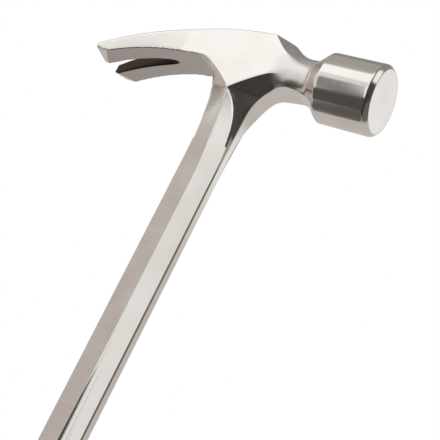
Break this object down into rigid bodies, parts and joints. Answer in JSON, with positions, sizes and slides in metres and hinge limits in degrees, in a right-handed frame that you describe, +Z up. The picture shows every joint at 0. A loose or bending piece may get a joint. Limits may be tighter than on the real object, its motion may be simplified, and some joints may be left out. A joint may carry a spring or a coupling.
{
  "type": "framing hammer",
  "caption": "Framing hammer forged in one piece with a straight split claw, a turned bell and a stacked leather washer grip.",
  "frame": {"origin": "middle of the butt cap's flat end", "axes": "+Z up the handle to the head, +X to the striking face, +Y across the head"},
  "size_m": [0.1496, 0.0334, 0.4075],
  "materials": {
    "forged_steel": "polished, finely brushed along the head and across the shaft",
    "guard_steel": "polished",
    "leather": "sanded and lacquered edge of stacked washers",
    "dark_fibre": "sanded fibre sheet",
    "pale_fibre": "sanded fibre sheet",
    "cap_metal": "polished",
    "rivet_steel": "ground flush"
  },
  "bodies": {
    "root": {"forging": "forged_steel", "guard": "guard_steel", "front_spacer_1": "dark_fibre", "front_spacer_2": "pale_fibre", "front_spacer_3": "dark_fibre", "leather_washer_1": "leather", "leather_washer_2": "leather", "leather_washer_3": "leather", "leather_washer_4": "leather", "leather_washer_5": "leather", "leather_washer_6": "leather", "leather_washer_7": "leather", "leather_washer_8": "leather", "leather_washer_9": "leather", "leather_washer_10": "leather", "leather_washer_11": "leather", "leather_washer_12": "leather", "leather_washer_13": "leather", "leather_washer_14": "leather", "leather_washer_15": "leather", "leather_washer_16": "leather", "leather_washer_17": "leather", "leather_washer_18": "leather", "leather_washer_19": "leather", "leather_washer_20": "leather", "leather_washer_21": "leather", "leather_washer_22": "leather", "leather_washer_23": "leather", "leather_washer_24": "leather", "leather_washer_25": "leather", "leather_washer_26": "leather", "leather_washer_27": "leather", "leather_washer_28": "leather", "leather_washer_29": "leather", "leather_washer_30": "leather", "leather_washer_31": "leather", "leather_washer_32": "leather", "rear_spacer_1": "dark_fibre", "rear_spacer_2": "pale_fibre", "rear_spacer_3": "dark_fibre", "butt_cap": "cap_metal", "butt_rivet": "rivet_steel"}
  },
  "joints": []
}
